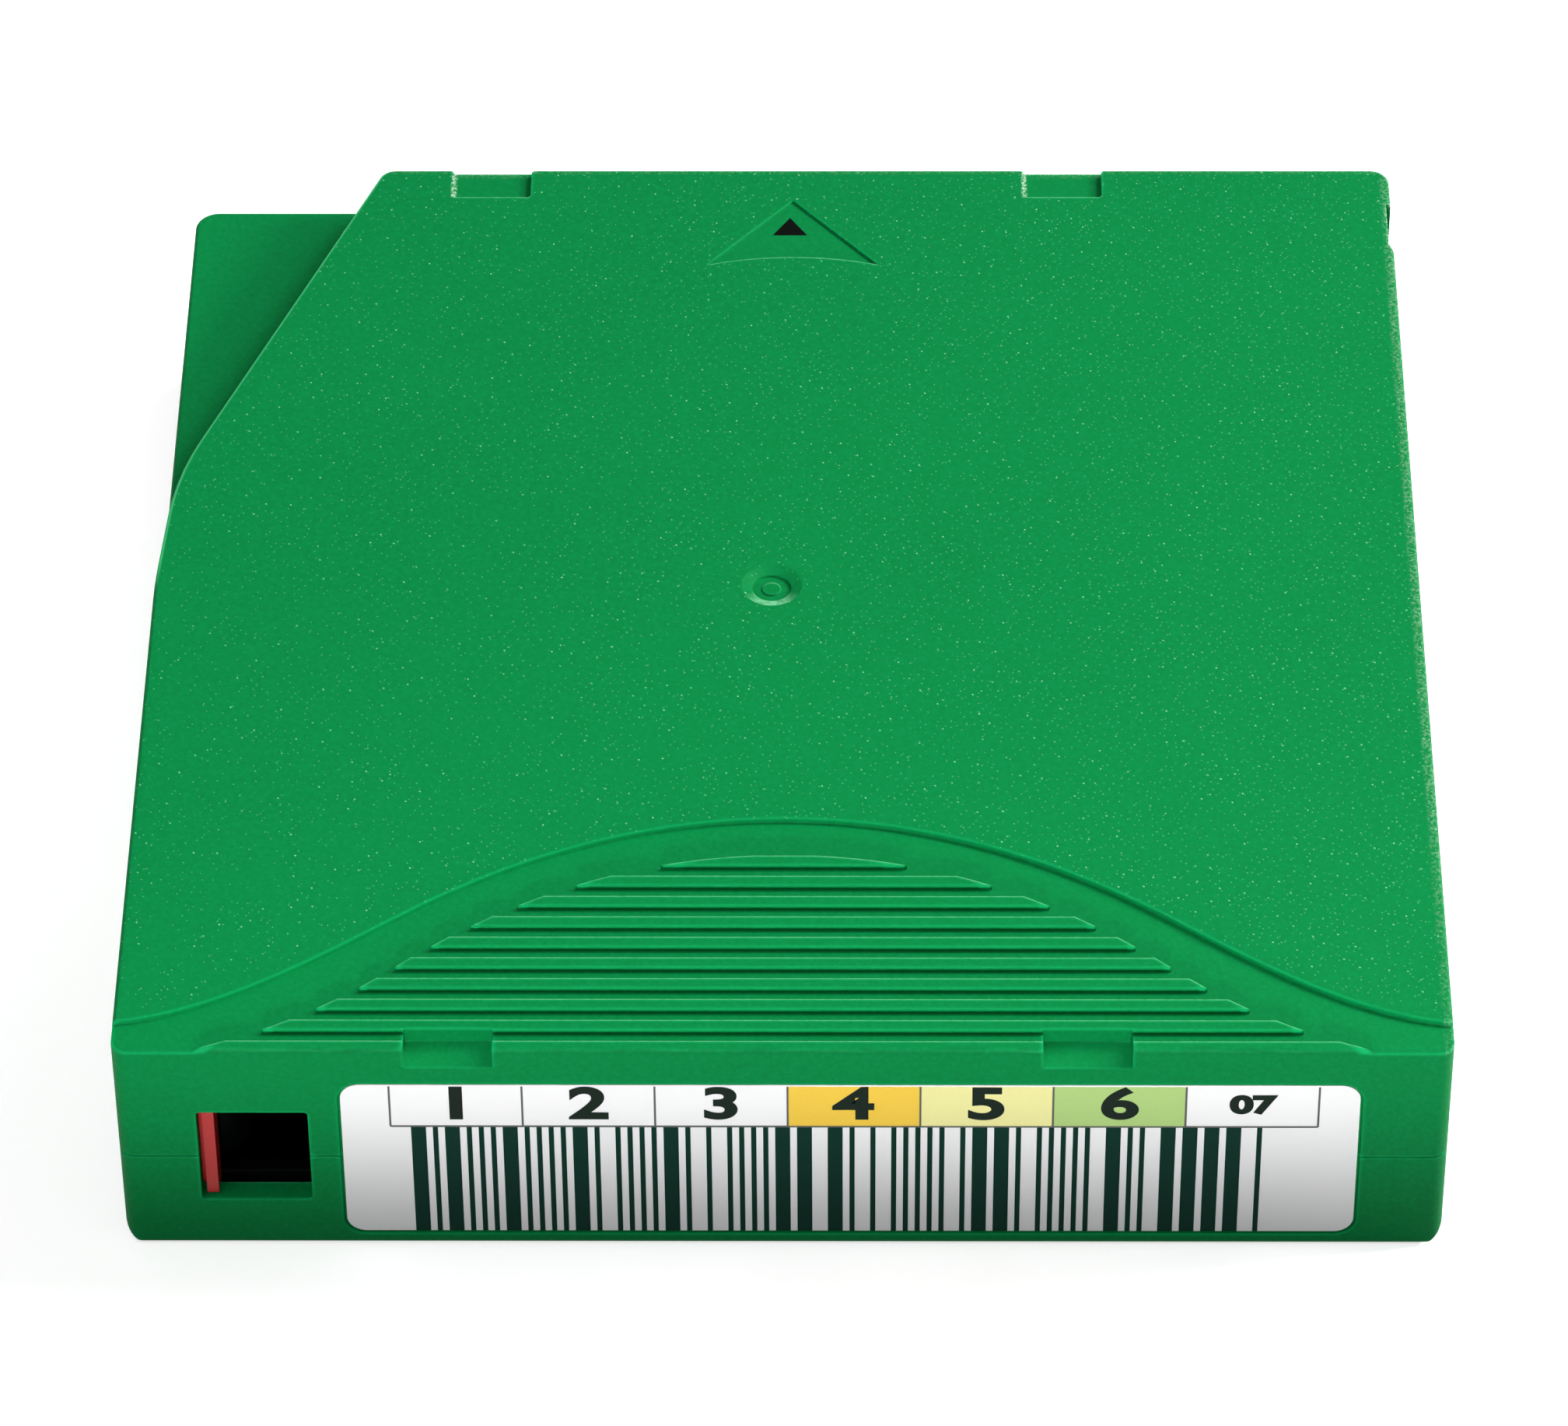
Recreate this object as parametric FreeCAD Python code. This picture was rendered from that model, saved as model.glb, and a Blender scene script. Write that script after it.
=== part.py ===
import FreeCAD, Part
import math
import os

# Half-inch single-reel data tape cartridge, one STEP file for each loose piece.
# Millimetres. The origin is the middle of the bottom face, +Z is up, the label
# face looks along -Y, the edge that enters the drive first is at +Y, and the
# door over the leader pin is in the left side, at -X.

# ---- case ---------------------------------------------------------------
case_w = 102.0
case_l = 105.4
case_h = 21.5
parting_z = 9.8
case_wall = 1.8
floor_t = 1.4
roof_t = 2.2
front_corner_r = 1.2
rear_corner_r = 1.6
low_corner_r = 2.0
top_edge_r = 0.35
side_edge_r = 2.2
end_edge_r = 0.6
seam_depth = 0.15
seam_height = 0.2

# stepped corner over the leader pin, measured from the left side and leading edge
step_drop = 4.7
step_roof_t = 1.0
cut_across = 16.3
cut_knee_in = 0.9
cut_knee_back = 39.5
cut_end_back = 52.3
cut_corner_r = 1.5
cut_knee_r = 32.0
cut_end_r = 60.0

# grip field: a lowered bell with ribs; each bell is (x, y, slope) from its crown out
grip_depth = 0.45
grip_crown_y = -27.4
grip_mid = (30.0, -38.5, -0.76)
grip_side = (51.0, -49.75, -0.12)
rib_crown_y = -31.5
rib_mid = (30.0, -44.1, -0.90)
rib_side = (51.0, -54.3, -0.20)
rib_count = 10
rib_pitch = 2.245
rib_width = 1.08
first_rib_y = -32.65

# small features of the top face
notch_xs = (-25.4, 23.2)
rear_notch_w = 6.55
rear_notch_l = 3.75
rear_notch_depth = 0.55
front_notch_w = 6.8
front_notch_l = 2.2
front_notch_depth = 1.35
front_notch_fall = 0.65
notch_corner_r = 0.3
notch_mouth_r = 0.7
arrow_x = 0.25
arrow_w = 14.4
arrow_l = 8.5
arrow_sag = 1.0
arrow_back = 4.2
arrow_depth = 0.2
dimple_r = 1.58
dimple_blend_r = 2.45
dimple_depth = 0.5
gate_r = 0.75
gate_h = 0.1

# right-hand notch near the leading edge
side_notch_back = 4.7
side_notch_l = 5.3
side_notch_ramp = 0.9
side_notch_depth = 0.4

# ---- label face -----------------------------------------------------------
label_left_in = 17.25
label_right_in = 6.95
label_z0 = 1.4
label_h = 16.1
label_t = 0.15
label_corner_r = 1.5
label_recess = 0.3
label_margin = 0.22

window_in = 6.15
window_w = 8.55
window_z0 = 5.05
window_h = 9.55
window_corner_r = 0.3

slider_t = 1.1
slider_w = 5.45
slider_over = 0.35
slider_key_w = 0.9
slider_key_inset = 0.4
slider_key_gap = 0.25
slider_key_back = 0.5
slider_play = 0.1
slider_end_gap = 0.3
track_t = 1.2

# ---- reel and tape ----------------------------------------------------------
reel_x = -1.2
reel_y = -0.25
reel_wall_gap = 1.0
reel_float = 0.15
flange_t = 0.8
hub_r = 22.0
hub_wall = 2.0
web_t = 1.5
tape_w = 12.65
tape_side_gap = 0.15
pack_inset = 1.5
flange_lip_h = 1.2
flange_lip_t = 0.6
fit_gap = 0.05

gear_r0 = 13.2
gear_r1 = 16.6
gear_teeth = 60
gear_tooth_h = 0.8
gear_base_t = 0.4
gear_opening_gap = 0.7
plate_r0 = 4.5
plate_r1 = 12.4
plate_t = 1.05

# ---- brake and release --------------------------------------------------------
brake_r0 = 8.0
brake_r1 = 11.5
brake_teeth = 24
brake_tooth_h = 1.0
brake_mesh_gap = 0.15
brake_disc_r = 15.6
brake_disc_t = 2.0
brake_lift = 1.6
boss_r = 6.2
boss_h = 4.6
key_side = 6.0
key_play = 0.15
brake_spring_r = 8.6
brake_spring_wire_r = 0.45
brake_spring_turns = 4
spider_r0 = 12.3
spider_t = 0.7
spider_gap = 0.2
leg_r = 1.1
leg_hole_gap = 0.3
leg_ring_r = 14.4
leg_count = 3
leg_below_web = 1.1

# ---- door and leader pin --------------------------------------------------------
door_wall = 0.95
door_t = 1.2
door_play = 0.1
door_end_play = 0.2
door_overlap = 0.9
channel_floor_t = 1.15
door_window_back = 2.5
door_window_l = 20.2
rear_wall = 1.5
door_tab_w = 1.2
door_tab_out = 0.8
door_tab_inset = 0.4
door_tab_z = (4.0, 12.0)
door_lug_l = 1.5
door_lug_z = (7.0, 9.8)
door_lug_reach = 0.95
spring_z = 8.4
spring_r = 0.86
spring_wire_r = 0.13
spring_turns = 10
spring_stop_y = -21.0
spring_stop_t = 1.5
guide_rib_h = 1.4
guide_rib_t = 0.8
guide_rib_y = (20.0, 33.0)

pin_in = 6.0
pin_back = 11.7
pin_r = 1.15
pin_flange_r = 2.0
pin_flange_t = 0.7
pin_play = 0.15
clip_gap = 0.1
clip_t = 0.7
clip_slot = 1.4
clip_inset = 0.3
leader_t = 0.12
leader_gap = 0.3
pin_spring_t = 0.35
pin_spring_w = 3.0
wire_sides = 5

# ---- fixings and memory -----------------------------------------------------------
boss_outer_r = 3.0
screw_r = 1.1
screw_len = 12.0
screw_head_r = 2.3
screw_head_h = 1.5
screw_seat_z = 3.0
screw_play = 0.1
front_left_screw = (6.5, 8.3)
front_right_screw = (12.0, 12.0)
rear_right_screw = (6.5, 6.5)
rear_left_screw_in = 18.0
rear_left_boss_gap = 0.93
counterbore_gap = 0.4
hole_r = 2.5
hole_depth = 3.0
hole_skin = 1.3
hole_boss_t = 1.6
hole_in = 7.5
hole_forward = 21.7
slot_stretch = 1.6
corner_wall_t = 1.0
corner_wall_gap = 1.2
corner_wall_from = 24.0
memory_in = 7.6
memory_w = 12.0
memory_h = 11.0
memory_t = 0.6
memory_play = 0.1
memory_post = 2.2
chip_side = 3.0
chip_t = 0.5

# ---- places worked out from the sizes above --------------------------------------
half_w = case_w / 2
half_l = case_l / 2
roof_z = case_h - roof_t
step_z = case_h - step_drop
step_roof_z = step_z - step_roof_t
inner_left = -half_w + case_wall
inner_front = -half_l + case_wall
inner_rear = half_l - case_wall
channel_left = -half_w + door_wall
channel_rear = half_l - rear_wall
field_z = case_h - grip_depth

flange_r = min(half_w - abs(reel_x), half_l - abs(reel_y)) - case_wall - reel_wall_gap
pack_r = flange_r - pack_inset
reel_z = floor_t + reel_float
tape_z0 = reel_z + flange_t + tape_side_gap
tape_z1 = tape_z0 + tape_w
hub_top = tape_z1 + tape_side_gap
web_top = reel_z + web_t

window_x0 = -half_w + window_in
window_x1 = window_x0 + window_w
window_z1 = window_z0 + window_h
slider_z0 = window_z0 - slider_over
slider_z1 = window_z1 + slider_over
slider_y0 = inner_front + slider_play
slider_y1 = slider_y0 + slider_t
track_y0 = slider_y1 + slider_play
key_x0 = window_x0 + slider_key_inset
key_x1 = key_x0 + slider_key_w
slider_x0 = key_x1 - slider_w

pin_x = -half_w + pin_in
pin_y = half_l - pin_back
pin_z0 = channel_floor_t + pin_play
pin_z1 = step_roof_z - pin_play
pin_mid_z = (pin_z0 + pin_z1) / 2
clip_r0 = pin_r + clip_gap
clip_r1 = clip_r0 + clip_t

door_window_y1 = half_l - door_window_back
door_window_y0 = door_window_y1 - door_window_l
door_y1 = door_window_y1 + door_overlap - door_end_play
door_y0 = door_window_y0 - door_overlap
door_x0 = channel_left + door_play
door_x1 = door_x0 + door_t
door_z0 = channel_floor_t + door_end_play
door_z1 = step_roof_z - door_end_play
lug_x1 = door_x1 + door_lug_reach
spring_x = lug_x1 - spring_r - spring_wire_r

leave_r = pack_r + leader_gap
leader_dx = pin_x - reel_x
leader_dy = pin_y - reel_y
leader_angle = math.atan2(leader_dy, leader_dx) - math.acos(leave_r / math.hypot(leader_dx, leader_dy))
leader_clear = leave_r + leader_t + boss_outer_r + rear_left_boss_gap

# the rear left screw stands beside the leader, on its outer side
rear_left_x = -half_w + rear_left_screw_in
rear_left_lean = (rear_left_x - reel_x) * math.cos(leader_angle)
rear_left_y = reel_y + (leader_clear - rear_left_lean) / math.sin(leader_angle)
screw_places = (
    (-half_w + front_left_screw[0], -half_l + front_left_screw[1]),
    (half_w - front_right_screw[0], -half_l + front_right_screw[1]),
    (half_w - rear_right_screw[0], half_l - rear_right_screw[1]),
    (rear_left_x, rear_left_y),
)


def vec(x, y, z=0.0):
    return FreeCAD.Vector(x, y, z)


def box(x0, x1, y0, y1, z0, z1):
    return Part.makeBox(x1 - x0, y1 - y0, z1 - z0, vec(x0, y0, z0))


def disc(x, y, radius, z0, z1):
    return Part.makeCylinder(radius, z1 - z0, vec(x, y, z0))


def tube(x, y, r0, r1, z0, z1):
    return disc(x, y, r1, z0, z1).cut(disc(x, y, r0, z0, z1))


def rounded_loop(corners):
    """Closed wire in the XY plane through (x, y, radius) corners, in order."""
    count = len(corners)
    edges = []
    entries = []
    exits = []
    for index, (x, y, radius) in enumerate(corners):
        here = vec(x, y)
        before = vec(*corners[index - 1][:2]).sub(here).normalize()
        after = vec(*corners[(index + 1) % count][:2]).sub(here).normalize()
        half_turn = math.acos(max(-1.0, min(1.0, before.dot(after)))) / 2
        reach = radius / math.tan(half_turn)
        middle = before.add(after).normalize()
        start = here.add(before.multiply(reach))
        end = here.add(after.multiply(reach))
        crown = here.add(middle.multiply(radius / math.sin(half_turn) - radius))
        edges.append(Part.Arc(start, crown, end).toShape())
        entries.append(start)
        exits.append(end)
    for index in range(count):
        edges.append(Part.LineSegment(exits[index - 1], entries[index]).toShape())
    return Part.Wire(Part.__sortEdges__(edges))


def prism(loop, z0, z1):
    face = Part.Face(loop)
    face.translate(vec(0, 0, z0))
    return face.extrude(vec(0, 0, z1 - z0))


def stand_up(shape):
    """Turns a shape drawn in XY so that its Y becomes Z and its depth runs along +Y."""
    turned = shape.copy()
    turned.rotate(vec(0, 0, 0), vec(1, 0, 0), 90)
    return turned


def front_prism(loop, y0, y1):
    """A loop drawn as (x, z), run from y0 to y1."""
    solid = stand_up(prism(loop, 0, y1 - y0))
    solid.translate(vec(0, y1, 0))
    return solid


def side_prism(points, x0, x1):
    """A polygon drawn as (y, z), run from x0 to x1."""
    loop = Part.makePolygon([vec(x0, y, z) for y, z in points + points[:1]])
    return Part.Face(loop).extrude(vec(x1 - x0, 0, 0))


# ---- outlines of the case -----------------------------------------------------------
def full_outline(inset=0.0):
    """Plan of the case below the step, drawn in by the inset."""
    right = half_w - inset
    end = half_l - inset
    front_r = max(front_corner_r - inset, 0.3)
    return rounded_loop((
        (-right, -end, front_r),
        (right, -end, front_r),
        (right, end, max(rear_corner_r - inset, 0.3)),
        (-right, end, max(low_corner_r - inset, 0.3)),
    ))


def top_outline():
    """Plan of the raised top, with the stepped corner left out."""
    return rounded_loop((
        (-half_w, -half_l, front_corner_r),
        (half_w, -half_l, front_corner_r),
        (half_w, half_l, rear_corner_r),
        (-half_w + cut_across, half_l, cut_corner_r),
        (-half_w + cut_knee_in, half_l - cut_knee_back, cut_knee_r),
        (-half_w, half_l - cut_end_back, cut_end_r),
    ))


def round_upper_edges(solid, z, radius):
    """Rounds the loop of edges that lies at height z."""
    edges = []
    for edge in solid.Edges:
        if abs(edge.BoundBox.ZMin - z) < 1e-4 and abs(edge.BoundBox.ZMax - z) < 1e-4:
            edges.append(edge)
    return solid.makeFillet(radius, edges)


def seam_groove():
    """Shallow groove all round the outside where the two shells meet."""
    z0 = parting_z - seam_height / 2
    z1 = parting_z + seam_height / 2
    return prism(full_outline(), z0, z1).cut(prism(full_outline(seam_depth), z0, z1))


# ---- grip field -----------------------------------------------------------------------
def bell_edge(x0, y0, slope0, x1, y1, slope1):
    """Smooth edge from one point to the next with a given slope at each."""
    third = (x1 - x0) / 3
    curve = Part.BezierCurve()
    curve.setPoles([
        vec(x0, y0),
        vec(x0 + third, y0 + slope0 * third),
        vec(x1 - third, y1 - slope1 * third),
        vec(x1, y1),
    ])
    return curve.toShape()


def bell_loop(crown_y, mid, side):
    """Area in front of a bell-shaped curve, out past the front of the case."""
    mid_x, mid_y, mid_slope = mid
    side_x, side_y, side_slope = side
    front_y = min(-half_l, side_y) - 2.0
    corners = [vec(side_x, side_y), vec(side_x, front_y), vec(-side_x, front_y), vec(-side_x, side_y)]
    edges = [
        bell_edge(-side_x, side_y, -side_slope, -mid_x, mid_y, -mid_slope),
        bell_edge(-mid_x, mid_y, -mid_slope, 0, crown_y, 0),
        bell_edge(0, crown_y, 0, mid_x, mid_y, mid_slope),
        bell_edge(mid_x, mid_y, mid_slope, side_x, side_y, side_slope),
    ]
    for start, end in zip(corners, corners[1:]):
        edges.append(Part.LineSegment(start, end).toShape())
    return Part.Wire(Part.__sortEdges__(edges))


def rib_bars():
    """The ribs that stay standing in the grip field."""
    bars = []
    for index in range(rib_count):
        near = first_rib_y - index * rib_pitch
        bars.append(box(-half_w, half_w, near, near + rib_width, field_z, case_h + 1))
    area = prism(bell_loop(rib_crown_y, rib_mid, rib_side), field_z, case_h + 1)
    return area.common(Part.makeCompound(bars))


def grip_cut():
    area = prism(bell_loop(grip_crown_y, grip_mid, grip_side), field_z, case_h + 1)
    return area.cut(rib_bars())


# ---- small features of the top --------------------------------------------------------
def rear_notch(x):
    y0 = half_l - rear_notch_l
    half = rear_notch_w / 2
    out = half + 2 * notch_mouth_r
    y2 = half_l + 2 * notch_mouth_r
    loop = rounded_loop((
        (x - half, y0, notch_corner_r),
        (x + half, y0, notch_corner_r),
        (x + half, half_l, notch_mouth_r),
        (x + out, half_l, notch_corner_r),
        (x + out, y2, notch_corner_r),
        (x - out, y2, notch_corner_r),
        (x - out, half_l, notch_corner_r),
        (x - half, half_l, notch_mouth_r),
    ))
    return prism(loop, case_h - rear_notch_depth, case_h + 1)


def front_notch(x):
    half = front_notch_w / 2
    y1 = -half_l + front_notch_l
    z1 = case_h - front_notch_depth
    slope = front_notch_fall / front_notch_l
    profile = [
        (y1, case_h + 1),
        (y1, z1),
        (-half_l - 1, z1 - slope * (front_notch_l + 1)),
        (-half_l - 1, case_h + 1),
    ]
    return side_prism(profile, x - half, x + half)


def arrow_recess():
    """Shallow triangle that points into the drive, with a hollow base."""
    apex = vec(arrow_x, half_l - arrow_back)
    base_y = apex.y - arrow_l
    left = vec(arrow_x - arrow_w / 2, base_y)
    right = vec(arrow_x + arrow_w / 2, base_y)
    edges = [
        Part.LineSegment(left, apex).toShape(),
        Part.LineSegment(apex, right).toShape(),
        Part.Arc(right, vec(arrow_x, base_y + arrow_sag), left).toShape(),
    ]
    return prism(Part.Wire(edges), case_h - arrow_depth, case_h + 1)


def gate_dimple():
    """Dished well over the reel axis, with the raised moulding gate in its floor."""
    well_z = case_h - dimple_depth
    blend_h = dimple_depth * 0.6
    blend_foot = vec(reel_x, reel_y, case_h - blend_h)
    blend = Part.makeCone(dimple_r, dimple_blend_r, blend_h, blend_foot)
    well = disc(reel_x, reel_y, dimple_r, well_z, case_h + 1)
    gate = disc(reel_x, reel_y, gate_r, well_z, well_z + gate_h)
    return well.fuse(blend).cut(gate)


def side_notch():
    y1 = half_l - side_notch_back
    y0 = y1 - side_notch_l
    deep = half_w - side_notch_depth
    loop = Part.makePolygon([
        vec(half_w + 1, y1),
        vec(deep, y1),
        vec(deep, y0),
        vec(half_w, y0 - side_notch_ramp),
        vec(half_w + 1, y0 - side_notch_ramp),
        vec(half_w + 1, y1),
    ])
    return prism(loop, parting_z, case_h + 1)


# ---- label face ----------------------------------------------------------------------
def label_loop(margin):
    x0 = -half_w + label_left_in - margin
    x1 = half_w - label_right_in + margin
    z0 = label_z0 - margin
    z1 = label_z0 + label_h + margin
    radius = label_corner_r + margin
    return rounded_loop(((x0, z0, radius), (x1, z0, radius), (x1, z1, radius), (x0, z1, radius)))


def label_pocket():
    return front_prism(label_loop(label_margin), -half_l - 1, -half_l + label_recess)


def make_label():
    y1 = -half_l + label_recess
    return front_prism(label_loop(0.0), y1 - label_t, y1)


def window_cut():
    loop = rounded_loop((
        (window_x0, window_z0, window_corner_r),
        (window_x1, window_z0, window_corner_r),
        (window_x1, window_z1, window_corner_r),
        (window_x0, window_z1, window_corner_r),
    ))
    return front_prism(loop, -half_l - 1, inner_front + 0.01)


def slider_track():
    """Back rail, ledges and end stop that hold the write-protect slider, open behind the window."""
    end_x = window_x1 + slider_end_gap
    rail = box(inner_left, end_x + track_t, track_y0, track_y0 + track_t, floor_t, roof_z)
    low = box(inner_left, end_x + track_t, inner_front, track_y0, floor_t, slider_z0 - slider_play)
    high = box(inner_left, end_x + track_t, inner_front, track_y0, slider_z1 + slider_play, roof_z)
    stop = box(end_x, end_x + track_t, inner_front, track_y0, floor_t, roof_z)
    opening = box(key_x1, end_x, inner_front, track_y0 + track_t, window_z0, window_z1)
    return rail.fuse([low, high, stop]).cut(opening)


def make_slider():
    plate = box(slider_x0, key_x1, slider_y0, slider_y1, slider_z0, slider_z1)
    z0 = window_z0 + slider_key_gap
    z1 = window_z1 - slider_key_gap
    key = box(key_x0, key_x1, -half_l + slider_key_back, slider_y0, z0, z1)
    return plate.fuse(key).removeSplitter()


# ---- inside of the shells ---------------------------------------------------------------
def corner_walls(z0, z1):
    """Arcs round the reel in the three corners that the tape path leaves free."""
    r0 = flange_r + corner_wall_gap
    ring = tube(reel_x, reel_y, r0, r0 + corner_wall_t, z0, z1)
    reach = r0 + corner_wall_t
    off = corner_wall_from
    corners = [
        box(reel_x - reach, reel_x - off, reel_y - reach, reel_y - off, z0, z1),
        box(reel_x + off, reel_x + reach, reel_y - reach, reel_y - off, z0, z1),
        box(reel_x + off, reel_x + reach, reel_y + off, reel_y + reach, z0, z1),
    ]
    return ring.common(Part.makeCompound(corners))


def screw_bosses(z0, z1):
    return [disc(x, y, boss_outer_r, z0, z1) for x, y in screw_places]


def door_channel():
    """Slot just inside the left wall where the door and its spring run."""
    return box(channel_left, inner_left + 0.5, spring_stop_y, channel_rear, channel_floor_t, step_roof_z)


def pin_well():
    """Lowered floor round the leader pin and its spring, open towards the door."""
    side = pin_flange_r + 0.4
    return box(channel_left, pin_x + side, pin_y - side, inner_rear, channel_floor_t, step_roof_z)


def door_window():
    z0 = channel_floor_t
    return box(-half_w - 1, channel_left + 0.01, door_window_y0, door_window_y1, z0, step_roof_z)


def locating_holes():
    """Round hole on the left and a slot on the right, in the bottom face."""
    y = -half_l + hole_forward
    left = disc(-half_w + hole_in, y, hole_r, -1, hole_depth)
    x = half_w - hole_in
    r = hole_r
    half = slot_stretch / 2 + r
    loop = rounded_loop(((x - half, y - r, r - 0.01), (x + half, y - r, r - 0.01),
                         (x + half, y + r, r - 0.01), (x - half, y + r, r - 0.01)))
    return [left, prism(loop, -1, hole_depth)]


def hole_bosses():
    y = -half_l + hole_forward
    top = hole_depth + hole_skin
    radius = hole_r + hole_boss_t
    left = disc(-half_w + hole_in, y, radius, floor_t, top)
    right = disc(half_w - hole_in, y, radius + slot_stretch / 2, floor_t, top)
    return [left, right]


def memory_place(shape):
    """Turns a shape drawn about the origin into the front right corner, at 45 degrees."""
    placed = shape.copy()
    placed.rotate(vec(0, 0, 0), vec(0, 0, 1), 45)
    placed.translate(vec(half_w - memory_in, -half_l + memory_in, 0))
    return placed


def memory_posts():
    posts = []
    for side in (-1, 1):
        middle = side * (memory_w / 2 - memory_post / 4)
        half = memory_post / 2
        post = box(middle - half, middle + half, -half, half, floor_t, floor_t + memory_h / 2)
        slot_half = memory_t / 2 + memory_play
        end = memory_w / 2 + memory_play
        slot = box(-end, end, -slot_half, slot_half, floor_t, floor_t + memory_h)
        posts.append(memory_place(post.cut(slot)))
    return posts


def guide_rib():
    x0 = door_x1 + door_play
    return box(x0, x0 + guide_rib_t, guide_rib_y[0], guide_rib_y[1], floor_t, floor_t + guide_rib_h)


def spring_stop():
    y1 = spring_stop_y
    return box(inner_left, lug_x1, y1 - spring_stop_t, y1, floor_t, parting_z)


def reel_rest():
    """Low ring round the gear opening that the reel sits over."""
    r0 = gear_r1 + gear_opening_gap
    return tube(reel_x, reel_y, r0, r0 + 1.2, 0, floor_t + reel_float * 0.6)


def screw_holes():
    holes = []
    for x, y in screw_places:
        holes.append(disc(x, y, screw_head_r + counterbore_gap, -1, screw_seat_z))
        holes.append(disc(x, y, screw_r + screw_play, 0, parting_z + 0.01))
        holes.append(disc(x, y, screw_r + fit_gap, parting_z, screw_seat_z + screw_len + 0.5))
    return holes


def cavity():
    """Room inside the case, lower under the stepped corner."""
    low = prism(full_outline(case_wall), floor_t, step_roof_z)
    inner_top = Part.Face(top_outline()).makeOffset2D(-case_wall)
    inner_top.translate(vec(0, 0, floor_t))
    high = inner_top.extrude(vec(0, 0, roof_z - floor_t))
    return low.fuse(high)


def inner_features():
    """What stands in the cavity of either shell before they are parted."""
    solids = [slider_track(), corner_walls(floor_t, roof_z)]
    solids += screw_bosses(floor_t, roof_z)
    return solids


def case_block():
    """Outer form of the closed case."""
    low = prism(full_outline(), 0, step_z)
    low = round_upper_edges(low, step_z, top_edge_r)
    high = prism(top_outline(), 0, case_h)
    high = round_upper_edges(high, case_h, top_edge_r)
    block = low.fuse(high)
    side_view = front_prism(rounded_loop((
        (-half_w, 0, side_edge_r),
        (half_w, 0, side_edge_r),
        (half_w, case_h + 2 * side_edge_r, side_edge_r),
        (-half_w, case_h + 2 * side_edge_r, side_edge_r),
    )), -half_l, half_l)
    end_view = rounded_loop((
        (-half_l, 0, end_edge_r),
        (half_l, 0, end_edge_r),
        (half_l, case_h + 2 * end_edge_r, end_edge_r),
        (-half_l, case_h + 2 * end_edge_r, end_edge_r),
    ))
    end_solid = front_prism(end_view, -half_w, half_w)
    end_solid.rotate(vec(0, 0, 0), vec(0, 0, 1), 90)
    return block.common(side_view).common(end_solid)


def hollow_case():
    """The case with its cavity, before it is parted into two shells."""
    room = cavity().cut(Part.makeCompound(inner_features()))
    openings = [room, door_channel(), pin_well(), door_window(), window_cut(), label_pocket()]
    openings += screw_holes() + [seam_groove(), side_notch(), grip_cut()]
    openings += [rear_notch(x) for x in notch_xs]
    openings += [front_notch(x) for x in notch_xs]
    openings += [arrow_recess(), gate_dimple()]
    return case_block().cut(openings)


def key_post():
    """Square post under the roof that keeps the brake from turning."""
    half = key_side / 2
    z0 = brake_top_z() + brake_lift + 0.2
    return box(reel_x - half, reel_x + half, reel_y - half, reel_y + half, z0, roof_z)


def make_upper_shell(case):
    above = box(-half_w - 2, half_w + 2, -half_l - 2, half_l + 2, parting_z, case_h + 2)
    return case.common(above).fuse(key_post()).removeSplitter()


def make_lower_shell(case):
    below = box(-half_w - 2, half_w + 2, -half_l - 2, half_l + 2, -1, parting_z)
    shell = case.common(below)
    added = hole_bosses() + memory_posts() + [guide_rib(), spring_stop(), reel_rest()]
    shell = shell.fuse(added)
    opening = disc(reel_x, reel_y, gear_r1 + gear_opening_gap, -1, floor_t + 2)
    return shell.cut([opening] + locating_holes()).removeSplitter()


# ---- reel -----------------------------------------------------------------------------
def crown_tooth(r0, r1, root_angle, tip_angle, z_root, z_tip):
    """Straight-sided radial tooth between two radii, narrower at its tip."""
    corners = []
    for angle, z in ((-root_angle, z_root), (root_angle, z_root), (tip_angle, z_tip), (-tip_angle, z_tip)):
        half = math.radians(angle)
        corners.append((math.tan(half), z))
    faces = []
    for radius in (r0, r1):
        points = [vec(radius, radius * slope, z) for slope, z in corners]
        faces.append(Part.makePolygon(points + points[:1]))
    return Part.makeLoft(faces, True, True)


def crown_teeth(count, r0, r1, z_root, z_tip, fill=0.5):
    """Ring of radial teeth on the reel axis, with a tooth on the +X line."""
    pitch = 360.0 / count
    tooth = crown_tooth(r0, r1, pitch * fill * 0.62, pitch * fill * 0.3, z_root, z_tip)
    tooth.translate(vec(reel_x, reel_y, 0))
    teeth = []
    for index in range(count):
        copy = tooth.copy()
        copy.rotate(vec(reel_x, reel_y, 0), vec(0, 0, 1), index * pitch)
        teeth.append(copy)
    return teeth


def leg_centres():
    places = []
    for index in range(leg_count):
        angle = math.radians(90 + index * 360.0 / leg_count)
        places.append((reel_x + leg_ring_r * math.cos(angle), reel_y + leg_ring_r * math.sin(angle)))
    return places


def gear_tip_z():
    return reel_z - gear_base_t - gear_tooth_h


def make_reel_hub():
    flange = disc(reel_x, reel_y, flange_r, reel_z, reel_z + flange_t)
    web = disc(reel_x, reel_y, hub_r, reel_z, web_top)
    wall = tube(reel_x, reel_y, hub_r - hub_wall, hub_r, reel_z, hub_top)
    gear = tube(reel_x, reel_y, gear_r0, gear_r1, reel_z - gear_base_t, reel_z)
    hub = flange.fuse([web, wall, gear])
    hub = hub.fuse(crown_teeth(gear_teeth, gear_r0, gear_r1, reel_z - gear_base_t + 0.1, gear_tip_z()))
    hub = hub.fuse(crown_teeth(brake_teeth, brake_r0, brake_r1, web_top - 0.1, web_top + brake_tooth_h))
    holes = [disc(x, y, leg_r + leg_hole_gap, -1, web_top + 1) for x, y in leg_centres()]
    return hub.cut(holes).removeSplitter()


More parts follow.
